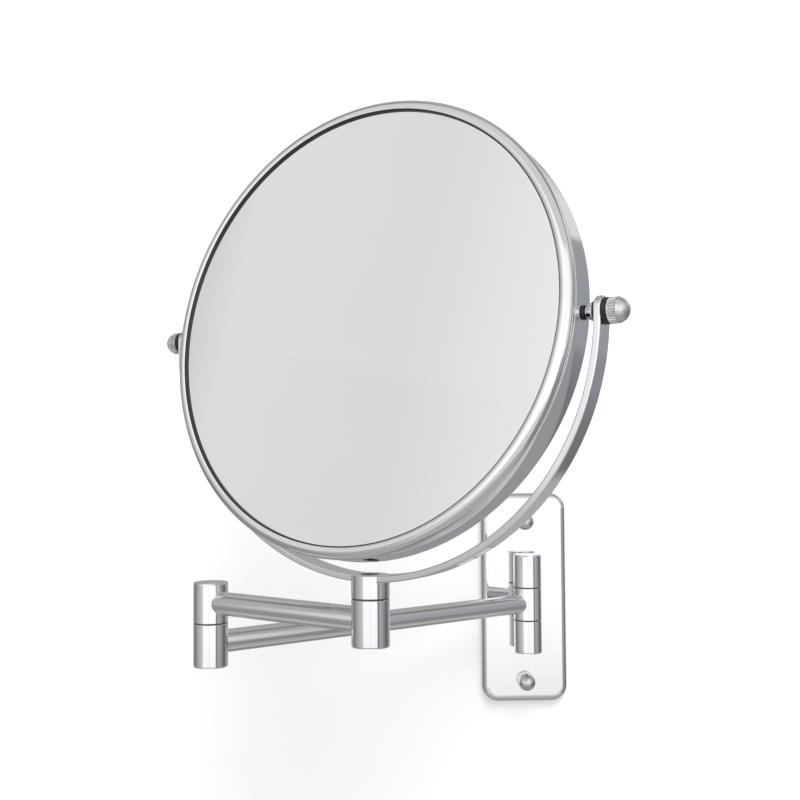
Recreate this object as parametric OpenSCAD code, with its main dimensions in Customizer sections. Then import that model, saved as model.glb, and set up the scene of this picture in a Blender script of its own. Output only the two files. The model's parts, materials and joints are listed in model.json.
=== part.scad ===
// Wall-mounted, two-sided round shaving mirror on a double swinging arm.
// Frame: origin at the middle of the wall plate's back face, +Z up, the wall towards +Y,
// the user towards -Y. The arms, the yoke and the head stand part-way out, as in use.

/* [Wall plate] */
// Width of the cover plate
plate_w = 58.8; // [54:0.1:76]
// Height of the cover plate
plate_h = 144.2; // [140:0.1:170]
// Depth of the cover plate from the wall to its front face
plate_t = 7; // [6:0.5:9]
// Corner radius of the cover plate, seen from the front
plate_corner_r = 10.5; // [8:0.5:14]
// Radius of the cover plate's rounded front edge
plate_edge_r = 4.5; // [2:0.5:5]
// Thickness of the cover plate's front wall
plate_front = 2; // [1.5:0.1:2.5]
// Thickness of the cover plate's side walls
plate_side = 1.4; // [1:0.1:2]
// How far the hinge's middle sits below the plate's middle
hinge_drop = 2.1; // [0:0.1:3]
// Distance between the two dome nuts
nut_spacing = 110.4; // [108:0.1:116]
// Diameter of the dome nuts
nut_d = 11.8; // [10:0.1:13]
// Distance between the two wall screw holes in the bracket
screw_spacing = 78; // [70:1:84]
// Diameter of the wall screw holes
screw_hole_d = 5.2; // [4:0.1:6]

/* [Hinges] */
// Diameter of every hinge knuckle
hub_d = 19.05; // [18:0.05:22]
// Height of one knuckle
knuckle_h = 22.2; // [20:0.1:26]
// Extra height of the two knuckles that have a bolt head in their foot
foot_h = 1.8; // [0:0.1:4]
// Gap in each joint line
joint_gap = 0.7; // [0.6:0.1:1]
// Thickness of the washer in each joint line
washer_t = 0.6; // [0.4:0.1:0.6]
// Clear distance between the cover plate and the wall hinge
hinge_gap = 4.1; // [3:0.1:6]
// Diameter of the hinge pin and of the two shoulder bolts
pin_d = 8; // [6:0.5:8.5]
// Running clearance round pins and bolts, on the radius
run = 0.05; // [0.02:0.01:0.1]

/* [Arms] */
// Diameter of the arm tubes
tube_d = 12.7; // [11:0.1:13.5]
// Wall thickness of the arm tubes
tube_wall = 1.2; // [0.8:0.1:2]
// Length of the rear arm, axis to axis
rear_len = 241; // [180:1:260]
// Length of the front arm, axis to axis
front_len = 113.6; // [90:0.1:180]
// Angle of the rear arm out from the wall
rear_out = 34.7; // [20:0.1:60]
// Angle of the front arm out from the wall
front_out = 39.4; // [20:0.1:70]

/* [Yoke] */
// Height of the slotted cap under the yoke
cap_h = 11.6; // [11:0.1:14]
// Inner radius of the half-ring bar
yoke_r = 121.6; // [121:0.1:130]
// Thickness of the bar, measured outwards
bar_t = 3.5; // [3:0.1:4]
// Width of the bar, front to back
bar_w = 11.5; // [10:0.1:12.7]
// Radius of the bar's long edges
bar_edge_r = 0.8; // [0.4:0.1:1.2]
// Turn of the yoke to the left of straight ahead
yoke_turn = 35.1; // [0:0.1:60]

/* [Mirror head] */
// Backward tilt of the mirror head
head_tilt = 10; // [0:0.5:30]
// Outer radius of the side band
band_r = 115; // [113:0.5:115]
// Distance of the band's front edge ahead of the pivot
band_front = 8.7; // [8.5:0.1:9]
// Distance of the band's rear face behind the pivot
band_back = 8; // [7.8:0.1:8.5]
// Thickness of the side band's sheet
band_t = 1.4; // [1:0.1:1.6]
// Radius of the half-round front bezel's section
bezel_r = 4; // [3.5:0.1:4]
// Radius of the opening in the bezel
bezel_in_r = 109.9; // [108:0.1:110]
// Radius of both mirror glasses
glass_r = 111.2; // [110.8:0.1:111.3]
// Thickness of the flat front glass
front_glass_t = 4; // [3:0.5:4]
// Thickness of the magnifying rear glass
rear_glass_t = 3; // [2.5:0.1:3]
// Radius of the magnifying glass's concave face
magnify_r = 850; // [850:10:1200]

/* [Knobs] */
// Diameter of the knurled thumb knobs
knob_d = 11.8; // [11:0.1:13]
// Length of the knurled part of a knob
knurl_l = 4.8; // [4.5:0.1:7]
// Height of a knob's dome
dome_h = 4.2; // [3.5:0.1:5]
// Number of grooves round a knob
knurls = 30; // [18:1:36]
// Diameter of the pivot studs
stud_d = 4; // [3:0.1:4]

/* [Hidden] */
$fn = 96;
hair = 0.01;
hub_r = hub_d / 2;
pin_r = pin_d / 2;
tube_r = tube_d / 2;
stud_r = stud_d / 2;
knob_r = knob_d / 2;

// Wall hinge: its axis is upright, in front of the plate
hinge_y = -(plate_t + hinge_gap + hub_r);
hinge_z = -hinge_drop;
end_round = 0.9;
joint_round = 0.25;

// Elbow and front hub, one arm's length further on each time
elbow_x = -rear_len * cos(rear_out);
elbow_y = hinge_y - rear_len * sin(rear_out);
elbow_z = hinge_z + knuckle_h / 2;
hub_x = elbow_x + front_len * cos(front_out);
hub_y = elbow_y - front_len * sin(front_out);
cap_z = elbow_z + knuckle_h;
pivot_z = cap_z + cap_h + yoke_r;

// Tube ends stop this far from a hinge axis, inside the knuckle's socket
socket_x = pin_r + 1.6;

// Shoulder bolts: head, spring washer and counterbore in a knuckle's foot
bolt_head_r = 6.4;
bolt_head_h = 3;
spring_t = 1;
bolt_recess = 4.3;
bolt_key_d = 5;
elbow_thread = 14;
cap_thread = 5;

// Wall plate's inner parts
bracket_w = 54;
bracket_h = 136;
bracket_t = 2;
bracket_corner_r = 8;
nut_stud_r = 2.5;
nut_base_h = 6.5;
standoff_r = 5;
knuckle_screw_r = 2;
knuckle_screw_l = 5;
knuckle_screw_head_r = 3.6;
knuckle_screw_head_h = 2;

// Yoke
ear_h = 1.2;
screw_r = 2.5;
screw_head_r = 4.1;
screw_head_h = 1.8;
screw_seat_r = 4.6;

// Distances along the tilt axis, from the mirror's middle outwards
bar_out = yoke_r + bar_t;
head_washer_t = 0.8;
head_washer_x = yoke_r - 0.3 - head_washer_t;
knob_washer_t = 2.2;
knob_x = bar_out + knob_washer_t + 0.1;
stud_end = knob_x + 6.2;
boss_t = 2;
boss_r = 4.6;
cone_small_r = 2.6;
cone_big_r = 4.7;
knob_washer_r = 6;

// Depths in the mirror head, ahead of the pivot
seam_gap = 0.3;
bezel_back = band_front + seam_gap;
bezel_mid_r = band_r + 0.45 - bezel_r;
bezel_mid = bezel_back + 2;
front_face = bezel_mid + 2;
front_glass_back = front_face - front_glass_t;
gasket_t = 0.9;
lip_in_r = 109.2;
rear_lip = 1.4;
rear_lip_round = 2;
rear_face = -(band_back - rear_lip - 0.8);
magnify_mid = rear_face - sqrt(pow(magnify_r, 2) - pow(glass_r, 2));

// ---- Frames ----

module at_wall_hinge() { translate([0, hinge_y, hinge_z]) children(); }

// Rear arm: +X runs along the tube from the wall hinge to the elbow
module along_rear_arm() { at_wall_hinge() rotate([0, 0, 180 + rear_out]) children(); }

// Front arm: +X runs along the tube from the elbow to the front hub
module along_front_arm() {
    translate([elbow_x, elbow_y, elbow_z + knuckle_h / 2]) rotate([0, 0, -front_out]) children();
}

module at_elbow() { translate([elbow_x, elbow_y, elbow_z]) children(); }

module at_front_hub() { translate([hub_x, hub_y, elbow_z]) children(); }

// Yoke: origin at the tilt axis' middle, +X along that axis to the right, -Y to the user
module at_pivot() { translate([hub_x, hub_y, pivot_z]) rotate([0, 0, -yoke_turn]) children(); }

module at_head() { at_pivot() rotate([-head_tilt, 0, 0]) children(); }

// Turns a solid of revolution drawn as [radius, distance ahead of the pivot] to face the user
module spun() { rotate([90, 0, 0]) rotate_extrude($fn = 180) children(); }

// One end of the tilt axis: side is 1 for the right end and -1 for the left one
module pivot_end(side) { mirror([side > 0 ? 0 : 1, 0, 0]) rotate([0, 90, 0]) children(); }

// ---- Shapes that repeat ----

// Upright cylinder with a small radius on its lower and upper edge
module round_cylinder(r, h, low, high) {
    rotate_extrude() {
        translate([0, low]) square([r, h - low - high]);
        square([r - low, h]);
        square([r - high, h]);
        translate([r - low, low]) circle(low, $fn = 32);
        translate([r - high, h - high]) circle(high, $fn = 32);
    }
}

module ring(r_in, r_out, h) {
    difference() {
        cylinder(r = r_out, h = h);
        translate([0, 0, -1]) cylinder(r = r_in, h = h + 2);
    }
}

// Spring washer: a ring with a narrow split
module split_washer(r_in, r_out, h) {
    difference() {
        ring(r_in, r_out, h);
        translate([r_in / 2, -0.4, -1]) cube([r_out, 0.8, h + 2]);
    }
}

// Socket for a tube that leaves a knuckle along +X
module tube_socket() { translate([socket_x, 0, 0]) rotate([0, 90, 0]) cylinder(r = tube_r, h = hub_r); }

module arm_tube(length) {
    translate([socket_x, 0, 0]) rotate([0, 90, 0])
        ring(tube_r - tube_wall, tube_r, length - 2 * socket_x);
}

// Counterbore in a knuckle's foot for a shoulder bolt's head, and the shank's running bore
module bolt_way() {
    translate([0, 0, -1]) cylinder(r = bolt_head_r + 0.4, h = bolt_recess + 1);
    cylinder(r = pin_r + run, h = knuckle_h + foot_h + 1);
}

// Shoulder bolt standing on its head; its foot is at z = 0
module shoulder_bolt(shank) {
    difference() {
        union() {
            round_cylinder(bolt_head_r, bolt_head_h, 0.5, 0.3);
            translate([0, 0, bolt_head_h - hair]) cylinder(r = pin_r, h = shank + hair);
        }
        translate([0, 0, -1]) cylinder(d = bolt_key_d / cos(30), h = 3, $fn = 6);
    }
}

// Section of the bar, x outwards from the ring's axis and y across the bar
module bar_section() {
    e = bar_edge_r;
    translate([0, -bar_w / 2 + e]) square([bar_t, bar_w - 2 * e]);
    translate([e, -bar_w / 2]) square([bar_t - 2 * e, bar_w]);
    for (x = [e, bar_t - e], y = [-bar_w / 2 + e, bar_w / 2 - e])
        translate([x, y]) circle(e, $fn = 24);
}

// Rounded rectangle standing in the plate's plane, its corners rounded by r
module plate_blank(w, h, t, r) {
    rotate([90, 0, 0]) linear_extrude(t) {
        square([w - 2 * r, h], center = true);
        square([w, h - 2 * r], center = true);
        for (x = [-1, 1], z = [-1, 1]) translate([x * (w / 2 - r), z * (h / 2 - r)]) circle(r);
    }
}

// Both heights of a pair of holes about the hinge's middle
function pair_z(spacing) = [hinge_z - spacing / 2, hinge_z + spacing / 2];

// Cylinders at both heights, pointing out from the wall, from depth y0 to depth y1
module pair_of_rods(spacing, r, y0, y1) {
    for (z = pair_z(spacing)) translate([0, -y0, z]) rotate([90, 0, 0]) cylinder(r = r, h = y1 - y0);
}

// ---- Wall mount ----

module wall_bracket() {
    color("silver") difference() {
        plate_blank(bracket_w, bracket_h, bracket_t, bracket_corner_r);
        for (z = [-screw_spacing / 2, screw_spacing / 2])
            translate([0, 1, z]) rotate([90, 0, 0]) cylinder(d = screw_hole_d, h = bracket_t + 2);
        pair_of_rods(nut_spacing, nut_stud_r, -1, bracket_t + 1);
    }
}

module bracket_studs() {
    color("silver") pair_of_rods(nut_spacing, nut_stud_r, 0, plate_t + nut_base_h + 1.5);
}

// Corner post of the cover: a disc whose front edge is a quarter round
module cover_corner() {
    inner = plate_corner_r - plate_edge_r;
    shoulder = plate_t - plate_edge_r;
    rotate_extrude($fn = 64) polygon(concat([[0, 0], [plate_corner_r, 0]],
        [for (a = [0 : 7.5 : 90]) [inner + plate_edge_r * cos(a), shoulder + plate_edge_r * sin(a)]],
        [[0, plate_t]]));
}

// Cover's outer shape: a rounded slab whose front edge is rounded all the way round
module cover_blank() {
    side_x = plate_w / 2 - plate_corner_r;
    end_z = plate_h / 2 - plate_corner_r;
    rotate([90, 0, 0]) hull() for (x = [-side_x, side_x], y = [-end_z, end_z])
        translate([x, y, 0]) cover_corner();
}

module cover_plate() {
    color("gainsboro") difference() {
        cover_blank();
        translate([0, 1, 0])
            plate_blank(plate_w - 2 * plate_side, plate_h - 2 * plate_side, plate_t - plate_front + 1,
                plate_corner_r - plate_side);
        pair_of_rods(nut_spacing, nut_stud_r + 0.15, 0, plate_t + 1);
        pair_of_rods(2 * knuckle_h, knuckle_screw_r + 0.15, 0, plate_t + 1);
    }
}

module dome_nuts() {
    r = nut_d / 2;
    color("silver") for (z = pair_z(nut_spacing)) translate([0, -plate_t, z]) rotate([90, 0, 0])
        difference() {
            union() {
                round_cylinder(r, nut_base_h + 0.5, 0.3, 0);
                translate([0, 0, nut_base_h]) intersection() {
                    sphere(r);
                    cylinder(r = r, h = r);
                }
            }
            translate([0, 0, -1]) cylinder(r = nut_stud_r, h = nut_base_h + 2.5);
        }
}

module hinge_standoffs() {
    color("silver") difference() {
        pair_of_rods(2 * knuckle_h, standoff_r, plate_t, -hinge_y);
        translate([0, hinge_y, hinge_z - 2 * knuckle_h]) cylinder(r = hub_r, h = 4 * knuckle_h);
        pair_of_rods(2 * knuckle_h, knuckle_screw_r + 0.15, 0, -hinge_y);
    }
}

// Screws from inside the cover, through the standoffs, into the fixed knuckles
module standoff_screws() {
    seat = plate_t - plate_front;
    tip = plate_t + hinge_gap + knuckle_screw_l;
    color("dimgray") difference() {
        union() {
            pair_of_rods(2 * knuckle_h, knuckle_screw_head_r, seat - knuckle_screw_head_h, seat);
            pair_of_rods(2 * knuckle_h, knuckle_screw_r, seat - hair, tip);
        }
        for (z = pair_z(2 * knuckle_h), turn = [0, 90])
            translate([0, -(seat - knuckle_screw_head_h), z]) rotate([0, turn, 0])
                cube([4, 2, 0.8], center = true);
    }
}

// Threaded hole in the back of a fixed knuckle, for a standoff screw
module knuckle_screw_way() {
    rotate([-90, 0, 0]) translate([0, 0, hub_r - knuckle_screw_l]) cylinder(r = knuckle_screw_r, h = hub_r);
}

module upper_knuckle() {
    h = knuckle_h - joint_gap / 2;
    color("gainsboro") at_wall_hinge() translate([0, 0, knuckle_h / 2 + joint_gap / 2]) difference() {
        round_cylinder(hub_r, h, joint_round, end_round);
        translate([0, 0, -1]) cylinder(r = pin_r, h = h - 3);
        translate([0, 0, knuckle_h / 2 - joint_gap / 2]) knuckle_screw_way();
    }
}

module lower_knuckle() {
    h = knuckle_h - joint_gap / 2;
    color("gainsboro") at_wall_hinge() translate([0, 0, -1.5 * knuckle_h]) difference() {
        round_cylinder(hub_r, h, end_round, joint_round);
        translate([0, 0, -1]) cylinder(r = pin_r, h = h + 2);
        translate([0, 0, knuckle_h / 2]) knuckle_screw_way();
    }
}

module wall_hinge_pin() {
    low = -1.5 * knuckle_h + 3;
    high = 1.5 * knuckle_h - 4;
    color("darkgray") at_wall_hinge() translate([0, 0, low]) cylinder(r = pin_r, h = high - low);
}

module wall_hinge_washers() {
    color("dimgray") at_wall_hinge() {
        translate([0, 0, -(knuckle_h + joint_gap) / 2]) ring(pin_r, hub_r - 0.4, washer_t);
        translate([0, 0, (knuckle_h + joint_gap) / 2 - washer_t]) ring(pin_r, hub_r - 0.4, washer_t);
    }
}

module pin_plug() {
    color("gainsboro") at_wall_hinge() translate([0, 0, -1.5 * knuckle_h]) difference() {
        cylinder(r = pin_r, h = 3);
        translate([0, 0, -1]) cylinder(d = 4 / cos(30), h = 2.5, $fn = 6);
    }
}

// ---- Rear arm ----

module middle_knuckle() {
    h = knuckle_h - joint_gap;
    color("gainsboro") along_rear_arm() difference() {
        translate([0, 0, -h / 2]) round_cylinder(hub_r, h, joint_round, joint_round);
        translate([0, 0, -h]) cylinder(r = pin_r + run, h = 2 * h);
        tube_socket();
    }
}

module rear_tube() { color("lightgray") along_rear_arm() arm_tube(rear_len); }

module elbow_lower_knuckle() {
    h = knuckle_h - joint_gap / 2 + foot_h;
    color("gainsboro") along_rear_arm() translate([rear_len, 0, 0]) difference() {
        translate([0, 0, -knuckle_h / 2 - foot_h]) difference() {
            round_cylinder(hub_r, h, end_round, joint_round);
            bolt_way();
        }
        rotate([0, 0, 180]) tube_socket();
    }
}

module elbow_washer() {
    color("dimgray") at_elbow() translate([0, 0, -joint_gap / 2])
        ring(pin_r + run, hub_r - 0.4, washer_t);
}

// ---- Front arm ----

module elbow_upper_knuckle() {
    h = knuckle_h - joint_gap / 2;
    color("gainsboro") along_front_arm() difference() {
        translate([0, 0, -knuckle_h / 2 + joint_gap / 2]) difference() {
            round_cylinder(hub_r, h, joint_round, end_round);
            translate([0, 0, -1]) cylinder(r = pin_r, h = elbow_thread + 1);
        }
        tube_socket();
    }
}

module elbow_bolt() {
    foot = -knuckle_h - foot_h + bolt_recess - spring_t - bolt_head_h;
    color("darkgray") at_elbow() translate([0, 0, foot])
        shoulder_bolt(joint_gap / 2 + elbow_thread - foot - bolt_head_h);
}

module elbow_spring_washer() {
    color("dimgray") at_elbow() translate([0, 0, -knuckle_h - foot_h + bolt_recess - spring_t])
        split_washer(pin_r + 0.1, bolt_head_r - 0.2, spring_t);
}

module front_tube() { color("lightgray") along_front_arm() arm_tube(front_len); }

module front_hub() {
    h = knuckle_h - joint_gap + foot_h;
    color("gainsboro") at_front_hub() rotate([0, 0, -front_out]) difference() {
        translate([0, 0, joint_gap / 2 - foot_h]) difference() {
            round_cylinder(hub_r, h, end_round, joint_round);
            bolt_way();
        }
        translate([0, 0, knuckle_h / 2]) rotate([0, 0, 180]) tube_socket();
    }
}

module swivel_washer() {
    color("dimgray") at_front_hub() translate([0, 0, knuckle_h - joint_gap / 2])
        ring(pin_r + run, hub_r - 0.4, washer_t);
}

// ---- Yoke ----

module yoke_cap() {
    color("gainsboro") difference() {
        translate([hub_x, hub_y, cap_z + joint_gap / 2]) difference() {
            round_cylinder(hub_r, cap_h - joint_gap / 2, joint_round, 0.3);
            translate([0, 0, -1]) cylinder(r = pin_r, h = cap_thread + 1);
            cylinder(r = screw_r, h = cap_h);
        }
        at_pivot() rotate([90, 0, 0]) translate([0, 0, -bar_w / 2]) ring(yoke_r - 1, bar_out, bar_w);
    }
}

// Half ring with straight round-ended ears at the tilt axis
module yoke_bar() {
    color("gainsboro") at_pivot() difference() {
        union() {
            intersection() {
                rotate([90, 0, 0]) rotate_extrude($fn = 180) translate([yoke_r, 0]) bar_section();
                translate([-200, -20, -200]) cube([400, 40, 200]);
            }
            for (side = [0, 1]) mirror([side, 0, 0]) {
                translate([yoke_r, 0, 0]) linear_extrude(ear_h) bar_section();
                translate([yoke_r, 0, ear_h]) rotate([0, 90, 0])
                    round_cylinder(bar_w / 2, bar_t, bar_edge_r, bar_edge_r);
            }
        }
        translate([-bar_out - 1, 0, 0]) rotate([0, 90, 0]) cylinder(r = stud_r + run, h = 2 * bar_out + 2);
        translate([0, 0, -bar_out - 1]) cylinder(r = screw_r, h = 2 * bar_t);
        translate([0, 0, -yoke_r - screw_head_h]) cylinder(r = screw_seat_r, h = 2 * bar_t);
    }
}

module yoke_screw() {
    top = pivot_z - yoke_r;
    color("silver") translate([hub_x, hub_y, 0]) rotate([0, 0, -yoke_turn]) difference() {
        union() {
            translate([0, 0, top - screw_head_h])
                round_cylinder(screw_head_r, screw_head_h, 0.1, 0.4);
            translate([0, 0, cap_z - 2]) cylinder(r = screw_r, h = cap_h + 2 - screw_head_h + hair);
        }
        for (turn = [0, 90]) translate([0, 0, top]) rotate([0, 0, turn])
            cube([4.6, 1, 2 * 1.1], center = true);
    }
}

module swivel_bolt() {
    foot = joint_gap / 2 - foot_h + bolt_recess - spring_t - bolt_head_h;
    shank = knuckle_h + joint_gap / 2 + cap_thread - foot - bolt_head_h;
    color("darkgray") at_front_hub() difference() {
        translate([0, 0, foot]) shoulder_bolt(shank);
        translate([0, 0, knuckle_h - 2]) cylinder(r = screw_r, h = cap_thread + 4);
    }
}

module swivel_spring_washer() {
    color("dimgray") at_front_hub() translate([0, 0, joint_gap / 2 - foot_h + bolt_recess - spring_t])
        split_washer(pin_r + 0.1, bolt_head_r - 0.2, spring_t);
}

module knob_washer(side) {
    color("black") at_pivot() pivot_end(side) translate([0, 0, bar_out])
        ring(stud_r + 0.1, knob_washer_r, knob_washer_t);
}

module left_knob_washer() { knob_washer(-1); }
module right_knob_washer() { knob_washer(1); }

// ---- Mirror head ----

// Side band, turned in at the back to hold the magnifying glass
module head_rim() {
    round_r = rear_lip_round;
    color("gainsboro") at_head() difference() {
        spun() difference() {
            union() {
                translate([bezel_in_r, -band_back])
                    square([band_r - round_r - bezel_in_r, band_back + band_front]);
                translate([bezel_in_r, -band_back + round_r])
                    square([band_r - bezel_in_r, band_back - round_r + band_front]);
                translate([band_r - round_r, -band_back + round_r]) circle(round_r, $fn = 32);
            }
            translate([0, -band_back + rear_lip]) square([band_r - band_t, 3 * band_back]);
        }
        translate([-band_r - 1, 0, 0]) rotate([0, 90, 0]) cylinder(r = stud_r, h = 2 * band_r + 2);
    }
}

// Half-round ring with a skirt that slides inside the band
module front_bezel() {
    skirt_r = band_r - band_t - 0.1;
    color("gainsboro") at_head() spun() difference() {
        union() {
            intersection() {
                translate([bezel_mid_r, bezel_mid]) circle(bezel_r, $fn = 64);
                translate([bezel_in_r, bezel_back]) square([2 * bezel_r, 2 * bezel_r]);
            }
            translate([skirt_r - 1.2, band_front - 4]) square([1.2, 6]);
        }
        translate([0, -1]) square([glass_r + 0.2, front_face + gasket_t + 1]);
    }
}

module front_mirror() {
    color("white") at_head() spun() {
        translate([0, front_glass_back]) square([glass_r - 0.4, front_glass_t]);
        translate([0, front_glass_back + 0.4]) square([glass_r, front_glass_t - 0.8]);
    }
}

// Slumped glass, hollow towards the back, of even thickness
module rear_mirror() {
    color("white") at_head() rotate([90, 0, 0]) intersection() {
        translate([0, 0, rear_face]) cylinder(r = glass_r, h = 20, $fn = 180);
        translate([0, 0, magnify_mid]) difference() {
            sphere(magnify_r + rear_glass_t);
            sphere(magnify_r);
        }
    }
}

module front_gasket() {
    color("black") at_head() spun()
        translate([lip_in_r, front_face]) square([glass_r + 0.2 - lip_in_r, gasket_t]);
}

module rear_gasket() {
    lip_face = -band_back + rear_lip;
    color("black") at_head() spun() {
        translate([lip_in_r, lip_face]) square([glass_r + 0.2 - lip_in_r, rear_face - lip_face]);
        translate([lip_in_r, -band_back + 0.4]) square([bezel_in_r - lip_in_r, rear_face + band_back - 0.4]);
    }
}

// Plastic ring that keeps the two glasses apart
module spacer_ring() {
    r_in = glass_r - 2.6;
    r_out = glass_r + 0.2;
    back = rear_face + rear_glass_t + 0.5;
    color("dimgray") at_head() spun() translate([r_in, back]) square([r_out - r_in, front_glass_back - back]);
}

// Threaded boss inside the band, curved to lie against it
module pivot_boss(side) {
    inner_r = band_r - band_t;
    color("darkgray") at_head() intersection() {
        pivot_end(side) translate([0, 0, inner_r - 2 * boss_t]) ring(stud_r, boss_r, 4 * boss_t);
        rotate([90, 0, 0]) translate([0, 0, -10]) ring(inner_r - boss_t, inner_r, 20);
    }
}

module left_pivot_boss() { pivot_boss(-1); }
module right_pivot_boss() { pivot_boss(1); }

module pivot_stud(side) {
    start = band_r - band_t - boss_t;
    color("darkgray") at_head() pivot_end(side) translate([0, 0, start])
        cylinder(r = stud_r, h = stud_end - start);
}

module left_pivot_stud() { pivot_stud(-1); }
module right_pivot_stud() { pivot_stud(1); }

// Conical distance piece, narrow against the band and wide towards the yoke
module cone_spacer(side) {
    color("gainsboro") at_head() pivot_end(side) difference() {
        translate([0, 0, band_r]) cylinder(r1 = cone_small_r, r2 = cone_big_r, h = head_washer_x - band_r);
        cylinder(r = stud_r, h = yoke_r);
    }
}

module left_spacer() { cone_spacer(-1); }
module right_spacer() { cone_spacer(1); }

module head_washer(side) {
    color("black") at_head() pivot_end(side) translate([0, 0, head_washer_x])
        ring(stud_r, cone_big_r + 0.2, head_washer_t);
}

module left_head_washer() { head_washer(-1); }
module right_head_washer() { head_washer(1); }

// ---- Knobs ----

// Thumb knob: grooved skirt, domed end and a blind bore for the stud
module knob(side) {
    dome_base_r = knob_r - 0.2;
    dome_r = (pow(dome_base_r, 2) + pow(dome_h, 2)) / (2 * dome_h);
    color("silver") at_head() pivot_end(side) translate([0, 0, knob_x]) difference() {
        union() {
            linear_extrude(knurl_l) difference() {
                circle(knob_r);
                for (i = [0 : knurls - 1]) rotate(i * 360 / knurls)
                    translate([knob_r + 0.1, 0]) circle(0.4, $fn = 16);
            }
            intersection() {
                translate([0, 0, knurl_l + dome_h - dome_r]) sphere(dome_r);
                translate([0, 0, knurl_l - 1]) cylinder(r = dome_base_r, h = dome_h + 1);
            }
        }
        translate([0, 0, -1]) cylinder(r = stud_r + run, h = stud_end - knob_x + 1.5);
    }
}

module left_knob() { knob(-1); }
module right_knob() { knob(1); }

wall_bracket();
bracket_studs();
cover_plate();
dome_nuts();
hinge_standoffs();
standoff_screws();
upper_knuckle();
lower_knuckle();
wall_hinge_pin();
wall_hinge_washers();
pin_plug();
middle_knuckle();
rear_tube();
elbow_lower_knuckle();
elbow_washer();
elbow_upper_knuckle();
elbow_bolt();
elbow_spring_washer();
front_tube();
front_hub();
swivel_washer();
yoke_cap();
yoke_bar();
yoke_screw();
swivel_bolt();
swivel_spring_washer();
left_knob_washer();
right_knob_washer();
head_rim();
front_bezel();
front_mirror();
rear_mirror();
front_gasket();
rear_gasket();
spacer_ring();
left_pivot_boss();
right_pivot_boss();
left_pivot_stud();
right_pivot_stud();
left_spacer();
right_spacer();
left_head_washer();
right_head_washer();
left_knob();
right_knob();
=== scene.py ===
"""Looks for a wall-mounted extendable shaving mirror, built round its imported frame."""
import json
import math

import bpy
from mathutils import Matrix, Vector


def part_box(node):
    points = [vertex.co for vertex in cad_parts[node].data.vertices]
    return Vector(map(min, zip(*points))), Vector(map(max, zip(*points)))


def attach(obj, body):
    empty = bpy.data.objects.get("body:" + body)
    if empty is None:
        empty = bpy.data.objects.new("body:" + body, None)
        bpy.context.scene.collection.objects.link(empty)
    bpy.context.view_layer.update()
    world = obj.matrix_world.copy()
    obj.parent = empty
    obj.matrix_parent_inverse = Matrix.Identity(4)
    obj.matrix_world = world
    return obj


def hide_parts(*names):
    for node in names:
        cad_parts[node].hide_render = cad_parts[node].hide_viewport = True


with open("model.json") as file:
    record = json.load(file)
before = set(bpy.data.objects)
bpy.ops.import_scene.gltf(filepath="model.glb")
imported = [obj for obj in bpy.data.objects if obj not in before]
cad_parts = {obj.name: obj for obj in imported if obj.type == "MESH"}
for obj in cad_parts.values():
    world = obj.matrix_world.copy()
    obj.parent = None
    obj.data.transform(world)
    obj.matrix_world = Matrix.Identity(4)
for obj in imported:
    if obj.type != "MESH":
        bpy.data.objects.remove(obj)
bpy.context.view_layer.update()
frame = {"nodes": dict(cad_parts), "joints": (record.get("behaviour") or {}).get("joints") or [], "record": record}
joints = {j["name"]: j for j in frame["joints"]}
scene = bpy.context.scene
scene.view_settings.view_transform = "Standard"

# ---- Camera ----

CAMERA_SPOT = Vector((-0.1170, -0.7760, 0.1057))
CAMERA_YAW, CAMERA_PITCH, CAMERA_ROLL = (math.radians(a) for a in (2.29, 2.43, -0.37))
CAMERA_LENS_MM, SENSOR_MM = 49.45, 36.0

camera = bpy.data.objects.new("camera", bpy.data.cameras.new("camera"))
scene.collection.objects.link(camera)
scene.camera = camera
camera.data.lens, camera.data.sensor_width = CAMERA_LENS_MM, SENSOR_MM
camera.data.clip_start = 0.01
camera.matrix_world = (
    Matrix.Translation(CAMERA_SPOT)
    @ Matrix.Rotation(-CAMERA_YAW, 4, "Z")
    @ Matrix.Rotation(math.pi / 2 + CAMERA_PITCH, 4, "X")
    @ Matrix.Rotation(CAMERA_ROLL, 4, "Z")
)


# ---- Materials ----

NOISE_SPAN = (0.3, 0.7)  # most of a noise texture's values lie in here


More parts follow.
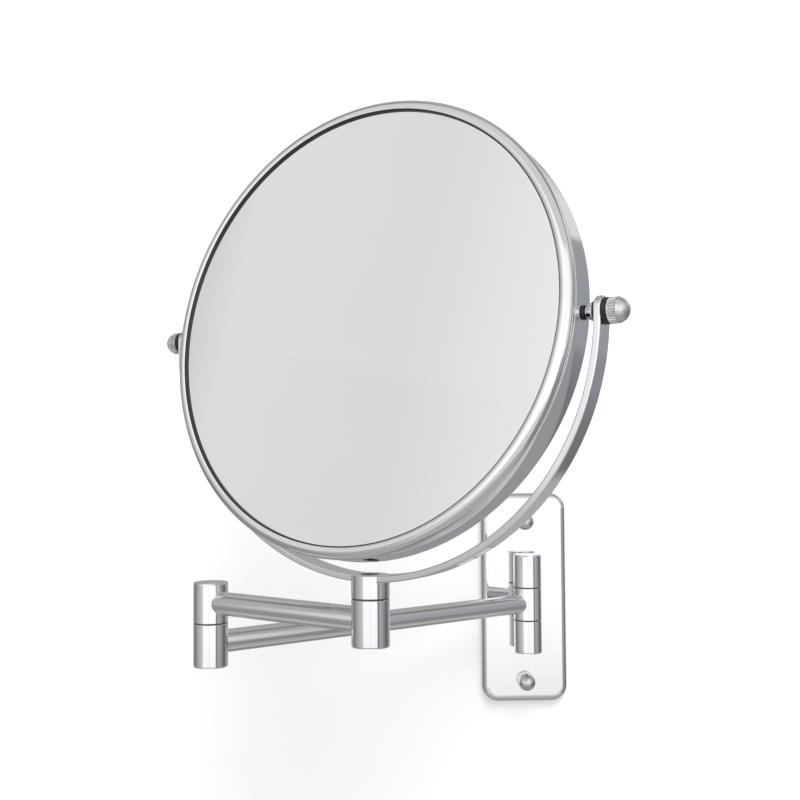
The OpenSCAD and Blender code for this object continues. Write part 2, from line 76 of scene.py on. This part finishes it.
class Shader:
    """A material's node tree, with short ways to add and join nodes."""

    def __init__(self, name):
        self.material = bpy.data.materials.new(name)
        self.material.use_nodes = True
        self.tree = self.material.node_tree
        self.surface = self.tree.nodes["Principled BSDF"]
        self.place = self.add("ShaderNodeTexCoord").outputs["Object"]

    def add(self, kind, **settings):
        node = self.tree.nodes.new(kind)
        for key, value in settings.items():
            setattr(node, key, value)
        return node

    def join(self, source, target):
        self.tree.links.new(source, target)

    def noise(self, scale, detail, roughness=0.5):
        node = self.add("ShaderNodeTexNoise")
        for name, number in (("Scale", scale), ("Detail", detail), ("Roughness", roughness)):
            node.inputs[name].default_value = number
        self.join(self.place, node.inputs["Vector"])
        return node.outputs["Fac"]

    def spread(self, value, low, high, start, end):
        """Maps a texture's start..end to low..high."""
        node = self.add("ShaderNodeMapRange")
        for name, number in zip(("From Min", "From Max", "To Min", "To Max"), (start, end, low, high)):
            node.inputs[name].default_value = number
        self.join(value, node.inputs["Value"])
        return node.outputs["Result"]

    def tint(self, value, dark, light):
        """Colours the surface from dark to light over a noise's usual values."""
        node = self.add("ShaderNodeValToRGB")
        first, last = node.color_ramp.elements
        first.position, last.position = NOISE_SPAN
        first.color, last.color = (*dark, 1), (*light, 1)
        self.join(value, node.inputs["Fac"])
        self.join(node.outputs["Color"], self.surface.inputs["Base Color"])

    def bump(self, value, height):
        node = self.add("ShaderNodeBump")
        node.inputs["Strength"].default_value = 1.0
        node.inputs["Distance"].default_value = height
        self.join(value, node.inputs["Height"])
        self.join(node.outputs["Normal"], self.surface.inputs["Normal"])

    def set(self, **values):
        for key, value in values.items():
            self.surface.inputs[key.replace("_", " ").title()].default_value = value


def finish(name, colours, colour_grain, roughness, rough_grain, bump_grain=None, bump_height=0.0,
           metallic=1.0, rough_span=NOISE_SPAN):
    """Material whose colour, roughness and bump follow noises, each grain a (scale, detail[, roughness])."""
    shader = Shader(name)
    shader.set(metallic=metallic)
    shader.tint(shader.noise(*colour_grain), *colours)
    shader.join(shader.spread(shader.noise(*rough_grain), *roughness, *rough_span),
                shader.surface.inputs["Roughness"])
    if bump_grain:
        shader.bump(shader.noise(*bump_grain), bump_height)
    return shader.material


LOOKS = {
    "polished_chrome": dict(
        colours=((0.80, 0.81, 0.83), (0.86, 0.865, 0.875)), colour_grain=(14, 4),
        roughness=(0.015, 0.055), rough_grain=(45, 6, 0.65),
        bump_grain=(30, 1), bump_height=0.00003),
    "satin_nickel": dict(
        colours=((0.70, 0.685, 0.665), (0.80, 0.79, 0.775)), colour_grain=(400, 5),
        roughness=(0.24, 0.34), rough_grain=(900, 6),
        bump_grain=(2500, 2), bump_height=0.000004),
    "bright_nickel": dict(
        colours=((0.60, 0.59, 0.57), (0.70, 0.69, 0.67)), colour_grain=(300, 4),
        roughness=(0.08, 0.15), rough_grain=(600, 6),
        bump_grain=(1500, 2), bump_height=0.000003),
    "black_oxide": dict(
        colours=((0.03, 0.03, 0.033), (0.08, 0.08, 0.085)), colour_grain=(500, 4),
        roughness=(0.25, 0.4), rough_grain=(900, 5),
        bump_grain=(2500, 2), bump_height=0.000004),
    "plated_steel": dict(
        colours=((0.50, 0.50, 0.51), (0.66, 0.66, 0.67)), colour_grain=(160, 5),
        roughness=(0.22, 0.42), rough_grain=(300, 6),
        bump_grain=(1200, 3), bump_height=0.00001),
    "black_rubber": dict(
        colours=((0.008, 0.008, 0.009), (0.016, 0.016, 0.018)), colour_grain=(500, 5),
        roughness=(0.3, 0.45), rough_grain=(700, 4),
        bump_grain=(3000, 3), bump_height=0.00001, metallic=0.0),
    "dark_nylon": dict(
        colours=((0.04, 0.04, 0.045), (0.07, 0.07, 0.075)), colour_grain=(300, 4),
        roughness=(0.35, 0.5), rough_grain=(500, 4),
        bump_grain=(2000, 3), bump_height=0.000008, metallic=0.0),
    "mirror_glass": dict(
        colours=((0.905, 0.91, 0.925), (0.925, 0.93, 0.945)), colour_grain=(9, 3),
        roughness=(0.0, 0.02), rough_grain=(25, 6, 0.6), rough_span=(0.45, 0.75)),
}
FINISHES = {name: finish(name, **look) for name, look in LOOKS.items()}

# ---- Carried-over nodes ----

for part in frame["record"]["subparts"]:
    for slot in frame["nodes"][part["node"]].material_slots:
        slot.material = FINISHES[part["material_slot"]]

# ---- Mesh helpers ----

SHARP_ANGLE = math.radians(38)  # edges sharper than this stay sharp on pieces without exact normals
KEY_DIGITS = 9  # corners that agree to this many digits share a row of vertices
SAME_SPOT = 1e-8  # a step of a profile shorter than this has no faces
UP = (0, 0, 1)


def arc(centre, radius, start, end, steps):
    """Corners of a profile on an arc, each with its normal; angles in degrees from outwards."""
    out, up = centre
    found = []
    for k in range(steps + 1):
        angle = math.radians(start + (end - start) * k / steps)
        normal = (math.cos(angle), math.sin(angle))
        found.append(((out + radius * normal[0], up + radius * normal[1]), normal))
    return found


def runs(*corners):
    """Straight runs of a profile from corner to corner; the outside is on the right of the direction."""
    found = []
    for start, end in zip(corners, corners[1:]):
        run = (end[0] - start[0], end[1] - start[1])
        length = math.hypot(*run)
        normal = (run[1] / length, -run[0] / length)
        found += [(start, normal), (end, normal)]
    return found


def plain(corners):
    """A profile whose normals are left to the mesh."""
    return [(corner, (0.0, 1.0)) for corner in corners]


def circle_loop(steps):
    turns = (2 * math.pi * k / steps for k in range(steps))
    return [((0.0, 0.0), (math.cos(a), math.sin(a))) for a in turns]


def oblong_loop(half_width, half_height, steps):
    """Loop round four corner centres, for a rounded rectangle."""
    found = []
    for quarter, (side, end) in enumerate(((1, 1), (-1, 1), (-1, -1), (1, -1))):
        for k in range(steps + 1):
            a = math.pi / 2 * (quarter + k / steps)
            found.append(((side * half_width, end * half_height), (math.cos(a), math.sin(a))))
    return found


def row_key(corner):
    return round(corner[0], KEY_DIGITS), round(corner[1], KEY_DIGITS)


def skin(loop, profile, place, dent=None):
    """Mesh of a profile of (out, up) corners carried round a loop: vertices, faces, corner normals, rows.

    dent(index, up) gives how far in a vertex lies, and rows holds each corner's ring of vertices."""
    verts, faces, normals = [], [], []
    rows = {}

    def row(corner):
        key = row_key(corner)
        if key not in rows:
            on_axis = key[0] == 0 and all(point == (0.0, 0.0) for point, _ in loop)
            rows[key] = []
            for index, (point, normal) in enumerate(loop):
                if on_axis and index:
                    rows[key].append(rows[key][0])
                    continue
                out = corner[0] - (dent(index, corner[1]) if dent else 0)
                verts.append(place @ Vector((point[0] + normal[0] * out, point[1] + normal[1] * out, corner[1])))
                rows[key].append(len(verts) - 1)
        return rows[key]

    turn = place.to_3x3()
    for (low, low_normal), (high, high_normal) in zip(profile, profile[1:]):
        if math.dist(low, high) < SAME_SPOT:
            continue
        below, over = row(low), row(high)
        for k in range(len(loop)):
            n = (k + 1) % len(loop)
            corners = ((below[k], k, low_normal), (below[n], n, low_normal),
                       (over[n], n, high_normal), (over[k], k, high_normal))
            face, face_normals = [], []
            for vert, index, (out, up) in corners:
                if vert not in face:
                    face.append(vert)
                    side = loop[index][1]
                    face_normals.append(turn @ Vector((side[0] * out, side[1] * out, up)))
            if len(face) > 2:
                faces.append(face)
                normals.extend(face_normals)
    return verts, faces, normals, rows


def piece_from(name, verts, faces, normals, material):
    """Smooth piece with exact normals, or with sharp edges found by angle where normals is None."""
    mesh = bpy.data.meshes.new(name)
    mesh.from_pydata(verts, [], faces)
    mesh.polygons.foreach_set("use_smooth", [True] * len(faces))
    mesh.update()
    if normals:
        mesh.normals_split_custom_set(normals)
    else:
        mesh.set_sharp_from_angle(angle=SHARP_ANGLE)
    mesh.materials.append(FINISHES[material])
    piece = bpy.data.objects.new(name, mesh)
    scene.collection.objects.link(piece)
    return piece


def stand_for(piece, node, body):
    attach(piece, body)
    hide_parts(node)


def upright_frame(origin, axis, side):
    """Frame whose Z runs along the axis and whose X is the part of side square to it."""
    axis, side = Vector(axis).normalized(), Vector(side)
    side = (side - axis * side.dot(axis)).normalized()
    frame_axes = Matrix((side, axis.cross(side), axis)).transposed().to_4x4()
    return Matrix.Translation(Vector(origin)) @ frame_axes


def span(node, place):
    """Lowest and highest height and greatest radius of a CAD node in a frame."""
    back = place.inverted()
    spots = [back @ v.co for v in frame["nodes"][node].data.vertices]
    return min(v.z for v in spots), max(v.z for v in spots), max(math.hypot(v.x, v.y) for v in spots)


# ---- Cover plate: a hollow pressed shell with every edge rounded ----

COVER_CORNER_R, COVER_EDGE_R, BEND_R = 0.0105, 0.0045, 0.003
COVER_SIDE_T, COVER_FRONT_T = 0.0014, 0.002
CORNER_STEPS, EDGE_STEPS, BEND_STEPS = 16, 14, 6

cover_low, cover_high = (Vector(corner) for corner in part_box("cover_plate"))
cover_w, cover_t, cover_h = cover_high - cover_low
cover_place = upright_frame(((cover_low.x + cover_high.x) / 2, cover_high.y, (cover_low.z + cover_high.z) / 2),
                            (0, -1, 0), (1, 0, 0))
cover_loop = oblong_loop(cover_w / 2 - COVER_CORNER_R, cover_h / 2 - COVER_CORNER_R, CORNER_STEPS)
side_top = (COVER_CORNER_R, cover_t - COVER_EDGE_R)
cover_profile = (
    runs((COVER_CORNER_R - COVER_SIDE_T, 0), (COVER_CORNER_R, 0), side_top)
    + arc((COVER_CORNER_R - COVER_EDGE_R, side_top[1]), COVER_EDGE_R, 0, 90, EDGE_STEPS)
)
lining_out, lining_up = COVER_CORNER_R - COVER_SIDE_T, cover_t - COVER_FRONT_T
bend_centre = (lining_out - BEND_R, lining_up - BEND_R)
cover_lining = [(corner, (-normal[0], -normal[1])) for corner, normal in arc(bend_centre, BEND_R, 90, 0, BEND_STEPS)]
cover_lining.append(((lining_out, 0), (-1.0, 0.0)))
verts, faces, normals, rows = skin(cover_loop, cover_lining + cover_profile, cover_place)
front_cap = rows[row_key((COVER_CORNER_R - COVER_EDGE_R, cover_t))]
inner_cap = rows[row_key((bend_centre[0], lining_up))][::-1]
for cap, facing in ((front_cap, -1), (inner_cap, 1)):
    faces.append(cap)
    normals.extend([Vector((0, facing, 0))] * len(cap))
stand_for(piece_from("cover_shell", verts, faces, normals, "polished_chrome"),
          "cover_plate", "wall_mount")

# ---- Dome nuts: a short round base with a thin groove round its foot, and a full dome ----

NUT_FOOT_R, NUT_GROOVE_DEPTH = 0.0005, 0.00025
GROOVE_START, GROOVE_FLOOR_START, GROOVE_FLOOR_END, GROOVE_END = 0.0009, 0.00115, 0.00135, 0.0016
FOOT_STEPS, DOME_STEPS, NUT_STEPS = 4, 24, 96

nuts_low, nuts_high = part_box("dome_nuts")
nut_r = (nuts_high[0] - nuts_low[0]) / 2
nut_l = nuts_high[1] - nuts_low[1]
nut_profile = (
    arc((nut_r - NUT_FOOT_R, NUT_FOOT_R), NUT_FOOT_R, -90, 0, FOOT_STEPS)
    + runs((nut_r, NUT_FOOT_R), (nut_r, GROOVE_START),
           (nut_r - NUT_GROOVE_DEPTH, GROOVE_FLOOR_START), (nut_r - NUT_GROOVE_DEPTH, GROOVE_FLOOR_END),
           (nut_r, GROOVE_END), (nut_r, nut_l - nut_r))
    + arc((0, nut_l - nut_r), nut_r, 0, 90, DOME_STEPS)
)
nut_verts, nut_faces, nut_normals = [], [], []
for nut_z in (nuts_low[2] + nut_r, nuts_high[2] - nut_r):
    nut_place = upright_frame(((nuts_low[0] + nuts_high[0]) / 2, nuts_high[1], nut_z), (0, -1, 0), (1, 0, 0))
    verts, faces, normals, _ = skin(circle_loop(NUT_STEPS), nut_profile, nut_place)
    nut_faces += [[vert + len(nut_verts) for vert in face] for face in faces]
    nut_verts += verts
    nut_normals += normals
stand_for(piece_from("round_dome_nuts", nut_verts, nut_faces, nut_normals, "bright_nickel"),
          "dome_nuts", "wall_mount")

# ---- Mirror head: ring, band and rear glass, turned about the line through the glass ----
# Heights in these profiles are distances ahead of the pivot.

HEAD_TILT = math.radians(10)
HEAD_STEPS, GLASS_STEPS = 480, 180
pivot = Vector(joints["head_tilt"]["pos_m"])
tilt_axis = Vector(joints["head_tilt"]["axis"]).normalized()
ahead = tilt_axis.cross(Vector(UP)) * math.cos(HEAD_TILT) + Vector(UP) * math.sin(HEAD_TILT)
head_place = upright_frame(pivot, ahead, tilt_axis)

# Front ring: a half-round rim with a seat for the glass, and a skirt inside the band
RING_MID_R, RING_MID, RING_ROUND = 0.11145, 0.011, 0.004
RING_IN_R, RING_BACK, SEAT_R, SEAT = 0.1099, 0.009, 0.1114, 0.0139
SKIRT_IN_R, SKIRT_R, SKIRT_END = 0.1123, 0.1135, 0.0047
RING_STEPS = 36
lowest = -math.degrees(math.asin((RING_MID - RING_BACK) / RING_ROUND))
inmost = 180 - math.degrees(math.acos((RING_MID_R - RING_IN_R) / RING_ROUND))
ring_front = arc((RING_MID_R, RING_MID), RING_ROUND, lowest, inmost, RING_STEPS)
ring_back = runs(ring_front[-1][0], (RING_IN_R, SEAT), (SEAT_R, SEAT), (SEAT_R, RING_BACK), (SKIRT_IN_R, RING_BACK),
                 (SKIRT_IN_R, SKIRT_END), (SKIRT_R, SKIRT_END), (SKIRT_R, RING_BACK), ring_front[0][0])
verts, faces, normals, _ = skin(circle_loop(HEAD_STEPS), ring_front + ring_back, head_place)
stand_for(piece_from("front_ring", verts, faces, normals, "polished_chrome"),
          "front_bezel", "head")

# Side band: turned in at the back as a lip that holds the rear glass, and hemmed at the front
BAND_R, BAND_T, BAND_FRONT, BAND_REAR = 0.115, 0.0014, 0.0087, -0.008
REAR_ROUND, LIP_T, LIP_ROUND, HEM_ROUND = 0.002, 0.0014, 0.0004, 0.0003
REAR_STEPS, LIP_STEPS = 14, 6
band_in_r = BAND_R - BAND_T
band_profile = (
    runs((RING_IN_R + LIP_ROUND, BAND_REAR), (BAND_R - REAR_ROUND, BAND_REAR))
    + arc((BAND_R - REAR_ROUND, BAND_REAR + REAR_ROUND), REAR_ROUND, -90, 0, REAR_STEPS)
    + runs((BAND_R, BAND_REAR + REAR_ROUND), (BAND_R, BAND_FRONT - HEM_ROUND))
    + arc((BAND_R - HEM_ROUND, BAND_FRONT - HEM_ROUND), HEM_ROUND, 0, 90, LIP_STEPS)
    + runs((BAND_R - HEM_ROUND, BAND_FRONT), (band_in_r, BAND_FRONT), (band_in_r, BAND_REAR + LIP_T),
           (RING_IN_R, BAND_REAR + LIP_T), (RING_IN_R, BAND_REAR + LIP_ROUND))
    + arc((RING_IN_R + LIP_ROUND, BAND_REAR + LIP_ROUND), LIP_ROUND, 180, 270, LIP_STEPS)
)
verts, faces, normals, _ = skin(circle_loop(HEAD_STEPS), band_profile, head_place)
stand_for(piece_from("side_band", verts, faces, normals, "polished_chrome"),
          "head_rim", "head")

# Rear glass: a dished disc with ground edges
DISH_R, GLASS_T, GRIND, DISH_STEPS = 0.85, 0.003, 0.0004, 24
glass_back, _, glass_r = span("rear_mirror", head_place)
dish_mid = glass_back - math.sqrt(DISH_R ** 2 - glass_r ** 2)


def dished(radius, facing):
    """Profile of a spherical face from the axis to its edge, with normals that face up (1) or down (-1)."""
    edge = math.asin((glass_r - GRIND) / radius)
    turns = (edge * k / DISH_STEPS for k in range(DISH_STEPS + 1))
    return [((radius * math.sin(a), dish_mid + radius * math.cos(a)), (facing * math.sin(a), facing * math.cos(a)))
            for a in turns]


hollow_face = dished(DISH_R, -1)
round_face = dished(DISH_R + GLASS_T, 1)[::-1]
hollow_edge, round_edge = hollow_face[-1][0], round_face[0][0]
glass_edge = runs(hollow_edge, (glass_r, hollow_edge[1] + GRIND), (glass_r, round_edge[1] - GRIND), round_edge)
verts, faces, normals, _ = skin(circle_loop(GLASS_STEPS), hollow_face + glass_edge + round_face, head_place)
stand_for(piece_from("magnifying_glass", verts, faces, normals, "mirror_glass"),
          "rear_mirror", "head")

# ---- Thumb knobs: straight knurling with softened ends, a step, and a low dome ----

KNURLS, KNURL_DEPTH = 30, 0.0005
KNURL_SHAPE = (0, 0.1, 0.65, 1, 0.65, 0.1)  # depth across one groove
KNURL_END, KNURL_EASE = 0.0003, 0.0004  # plain length at each end, and the length over which a groove deepens
EASE_LEVELS = (0.0003, 0.0005, 0.0007)
KNURL_LEVELS = 6
KNOB_FOOT = ((0.0004, 0), (0.0001, 0.0001), (0, 0.0003))  # how far in and up the foot's softened corners lie
KNOB_DOME, DOME_STEP, KNOB_DOME_STEPS = 0.0042, 0.0002, 18


def thumb_knob(side, axis):
    node = side + "_knob"
    base, tip, radius = span(node, upright_frame(pivot, axis, UP))
    place = upright_frame(pivot + axis.normalized() * base, axis, UP)
    height = tip - base
    knurl_top = height - KNOB_DOME
    dome_r = radius - DOME_STEP

    def dent(index, up):
        inside = min(up - KNURL_END, knurl_top - KNURL_END - up)
        if inside < 0:
            return 0
        return KNURL_DEPTH * min(1, inside / KNURL_EASE) * KNURL_SHAPE[index % len(KNURL_SHAPE)]

    run = knurl_top - 2 * EASE_LEVELS[-1]
    levels = [*EASE_LEVELS, *(EASE_LEVELS[-1] + run * k / KNURL_LEVELS for k in range(1, KNURL_LEVELS)),
              *(knurl_top - level for level in EASE_LEVELS[::-1])]
    bulge_r = (dome_r ** 2 + KNOB_DOME ** 2) / (2 * KNOB_DOME)
    edge = math.asin(dome_r / bulge_r)
    rise = (edge * (1 - k / KNOB_DOME_STEPS) for k in range(KNOB_DOME_STEPS + 1))
    foot = [(0, 0), *((radius - inwards, up) for inwards, up in KNOB_FOOT)]
    dome = [(bulge_r * math.sin(a), height - bulge_r * (1 - math.cos(a))) for a in rise]
    verts, faces, _, _ = skin(circle_loop(len(KNURL_SHAPE) * KNURLS),
                              plain(foot + [(radius, up) for up in levels] + dome), place, dent)
    stand_for(piece_from(side + "_thumb_knob", verts, faces, None, "satin_nickel"), node, node)


# ---- Flared distance pieces between the band and the yoke, each with a rubber ring at its neck ----

NECK_R, BORE_R, SEAL_R = 0.0025, 0.002, 0.00045
COLLAR_L, FLARE_POWER = 0.0006, 1.35
SPACER_STEPS, FLARE_STEPS, SEAL_STEPS = 72, 16, 20


def flared_spacer(side, axis):
    node = side + "_spacer"
    place = upright_frame(pivot, axis, UP)
    low, high, wide = span(node, place)
    flare_l = high - low - 2 * COLLAR_L
    flare = [(NECK_R + (wide - NECK_R) * (k / FLARE_STEPS) ** FLARE_POWER, low + COLLAR_L + flare_l * k / FLARE_STEPS)
             for k in range(FLARE_STEPS + 1)]
    outline = [(BORE_R, low), (NECK_R, low), *flare, (wide, high), (BORE_R, high), (BORE_R, low)]
    verts, faces, _, _ = skin(circle_loop(SPACER_STEPS), plain(outline), place)
    stand_for(piece_from(side + "_flared_spacer", verts, faces, None, "polished_chrome"),
              node, "head")

    seal = [(NECK_R + SEAL_R + SEAL_R * math.cos(a), low + SEAL_R + SEAL_R * math.sin(a))
            for a in (2 * math.pi * k / SEAL_STEPS for k in range(SEAL_STEPS + 1))]
    verts, faces, _, _ = skin(circle_loop(SPACER_STEPS), plain(seal), place)
    seal_piece = piece_from(side + "_neck_seal", verts, faces, None, "black_rubber")
    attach(seal_piece, "head")


for side, towards in (("left", -1), ("right", 1)):
    outwards = Vector(joints["head_tilt"]["axis"]) * towards
    thumb_knob(side, outwards)
    flared_spacer(side, outwards)

# ---- Room: one-sided wall and floor, neither of them seen in the chrome ----

WALL_Y, WALL_LEFT, WALL_RIGHT, WALL_TOP = 0.0006, -1.0, 0.45, 0.75
FLOOR_Z, FLOOR_HALF = -0.5, 3


def sheet(name, corners):
    mesh = bpy.data.meshes.new(name)
    mesh.from_pydata(corners, [], [range(len(corners))])
    piece = bpy.data.objects.new(name, mesh)
    scene.collection.objects.link(piece)
    piece.visible_glossy = False
    return piece


wall = sheet("studio_wall", [(x, WALL_Y, z) for x, z in ((WALL_LEFT, FLOOR_Z), (WALL_RIGHT, FLOOR_Z),
                                                         (WALL_RIGHT, WALL_TOP), (WALL_LEFT, WALL_TOP))])
paint = Shader("studio_paint")
paint.set(base_color=(0.86, 0.86, 0.865, 1), roughness=0.9)
clear = paint.add("ShaderNodeBsdfTransparent")
choose = paint.add("ShaderNodeMixShader")
paint.join(paint.add("ShaderNodeNewGeometry").outputs["Backfacing"], choose.inputs["Fac"])
paint.join(paint.surface.outputs["BSDF"], choose.inputs[1])
paint.join(clear.outputs["BSDF"], choose.inputs[2])
paint.join(choose.outputs["Shader"], paint.tree.nodes["Material Output"].inputs["Surface"])
wall.data.materials.append(paint.material)

floor = sheet("studio_floor", [(x * FLOOR_HALF, y * FLOOR_HALF, FLOOR_Z)
                               for x, y in ((-1, -1), (1, -1), (1, 1), (-1, 1))])
lino = Shader("studio_floor")
lino.set(base_color=(0.82, 0.82, 0.825, 1), roughness=0.9)
floor.data.materials.append(lino.material)


# ---- Surroundings: what the chrome reflects ----

class Sky(Shader):
    """The world's node tree, in terms of direction."""

    def __init__(self):
        self.material = bpy.data.worlds.new("studio")
        self.material.use_nodes = True
        self.tree = self.material.node_tree
        self.background = self.tree.nodes["Background"]

    def math(self, operation, *values):
        node = self.add("ShaderNodeMath", operation=operation)
        for socket, value in zip(node.inputs, values):
            if isinstance(value, (int, float)):
                socket.default_value = value
            else:
                self.join(value, socket)
        return node.outputs["Value"]

    def ramp(self, value, stops):
        node = self.add("ShaderNodeValToRGB")
        elements = node.color_ramp.elements
        while len(elements) > 1:
            elements.remove(elements[0])
        for index, (position, colour) in enumerate(stops):
            element = elements[0] if index == 0 else elements.new(position)
            element.position = position
            element.color = (*colour, 1)
        self.join(value, node.inputs["Fac"])
        return node.outputs["Color"]

    def smooth_step(self, value, start, end, low=0.0, high=1.0):
        """Goes smoothly from low at start to high at end."""
        node = self.add("ShaderNodeMapRange", interpolation_type="SMOOTHSTEP")
        self.join(value, node.inputs["Value"])
        for key, number in (("From Min", start), ("From Max", end), ("To Min", low), ("To Max", high)):
            node.inputs[key].default_value = number
        return node.outputs["Result"]

    def mix(self, factor, a, b):
        """Goes from a to b, each a socket or a colour."""
        node = self.add("ShaderNodeMix", data_type="RGBA")
        self.join(factor, node.inputs["Factor"])
        for socket, value in ((node.inputs[6], a), (node.inputs[7], b)):
            if hasattr(value, "links"):
                self.join(value, socket)
            else:
                socket.default_value = (*value, 1)
        return node.outputs[2]


sky = Sky()
scene.world = sky.material
split = sky.add("ShaderNodeSeparateXYZ")
sky.join(sky.add("ShaderNodeTexCoord").outputs["Generated"], split.inputs["Vector"])
x, y, z = (split.outputs[axis] for axis in "XYZ")
# 0 is straight behind the object, 0.25 to its left, 0.5 towards the user, 0.75 to its right, and 1 behind again
turn = sky.math("MULTIPLY_ADD", sky.math("ARCTAN2", x, sky.math("MULTIPLY", y, -1)), 0.5 / math.pi, 0.5)

BLUE = (-0.015, -0.002, 0.03)
OLIVE = (-0.01, 0.006, 0.0)
PLAIN = (0, 0, 0)


def ring(*stops):
    """A ramp round the horizon, from (azimuth, level) or (azimuth, level, tint) stops; 0 is towards the user."""
    colours = []
    for azimuth, level, *tint in stops:
        colours.append((0.5 + azimuth / 360, tuple(level + t for t in (tint[0] if tint else PLAIN))))
    return sky.ramp(turn, colours)


# Rings from straight down to straight up; each but the first starts between two heights (Z of the direction)
floor_ring = ring((-180, 0.38), (-136, 0.38), (-127, 0.66), (-110, 0.66), (-100, 0.5), (0, 0.6),
                  (95, 0.5), (108, 0.66), (126, 0.66), (134, 0.3), (180, 0.38))
low_ring = ring((-180, 0.38), (-110, 0.36), (-85, 0.4), (-60, 0.6), (-48, 0.9), (42, 0.9), (50, 0.36),
                (85, 0.34), (120, 0.27, OLIVE), (136, 0.23, OLIVE), (139, 0.55), (160, 0.55), (180, 0.38))
hub_ring = ring((-180, 0.3), (-165, 0.32), (-140, 0.4), (-126, 0.24), (-116, 0.2), (-98, 0.36), (-85, 0.45),
                (-70, 0.56), (-54, 0.65), (-48, 0.8), (-42, 1.2), (-8, 1.2), (-3, 1.05), (2, 1.2), (34, 1.2),
                (39, 1.0), (43, 0.26), (49, 0.22), (54, 0.46), (62, 0.46, BLUE), (80, 0.34, BLUE),
                (95, 0.22), (105, 0.13), (114, 0.14), (119, 0.3, BLUE), (137, 0.29, BLUE), (141, 0.5),
                (165, 0.45), (180, 0.34))
eye_ring = ring((-180, 0.4), (-130, 0.36), (-104, 0.42), (-86, 0.47), (-80, 0.77), (-70, 0.74), (-60, 0.92),
                (-46, 1.2), (34, 1.2), (42, 1.05), (46, 0.78), (65, 0.7), (71, 0.4, BLUE), (124, 0.35, BLUE),
                (150, 0.4), (180, 0.4))
high_ring = ring((-180, 0.4), (-130, 0.4), (-104, 0.44), (-86, 0.48), (-80, 0.78), (-70, 0.76), (-60, 0.92),
                 (-46, 1.2), (38, 1.1), (46, 0.8), (66, 0.75), (72, 0.44), (92, 0.44), (102, 0.78), (150, 0.78),
                 (165, 0.42), (180, 0.4))
roof_ring = ring((-180, 0.45), (-130, 0.5), (-119, 0.26), (-106, 0.22), (-98, 0.42), (-84, 0.7), (64, 0.72),
                 (76, 0.42), (88, 0.4), (96, 0.22), (106, 0.22), (116, 0.42), (180, 0.45))
surroundings = floor_ring
for start, end, following in ((-0.66, -0.6, low_ring), (-0.3, -0.22, hub_ring), (-0.07, -0.01, eye_ring),
                              (0.335, 0.355, high_ring), (0.62, 0.68, roof_ring)):
    surroundings = sky.mix(sky.smooth_step(z, start, end), surroundings, following)

# Everything below the eye is a little dimmer
DIM_BELOW, BRIGHT_ABOVE, DIM_LEVEL = -0.26, -0.12, 0.8
dimmer = sky.add("ShaderNodeVectorMath", operation="SCALE")
sky.join(surroundings, dimmer.inputs["Vector"])
sky.join(sky.smooth_step(z, DIM_BELOW, BRIGHT_ABOVE, low=DIM_LEVEL), dimmer.inputs["Scale"])

# The camera itself sees a plain backdrop
BACKDROP = (0.86, 0.86, 0.87)
seen = sky.mix(sky.add("ShaderNodeLightPath").outputs["Is Camera Ray"], dimmer.outputs["Vector"], BACKDROP)
sky.join(seen, sky.background.inputs["Color"])
sky.background.inputs["Strength"].default_value = 1.0

# ---- Light: one large soft box over the user ----

LIGHT_SPOT, LIGHT_TARGET = Vector((0.08, -1.1, 1.35)), Vector((-0.14, -0.1, 0.1))
LIGHT_SIDE, LIGHT_WATTS = 1.1, 28

light = bpy.data.lights.new("top_softbox", "AREA")
light.shape, light.size, light.energy = "SQUARE", LIGHT_SIDE, LIGHT_WATTS
softbox = bpy.data.objects.new("top_softbox", light)
scene.collection.objects.link(softbox)
softbox.location = LIGHT_SPOT
softbox.rotation_euler = (LIGHT_TARGET - LIGHT_SPOT).to_track_quat("-Z", "Y").to_euler()
softbox.visible_camera = False
softbox.visible_glossy = False
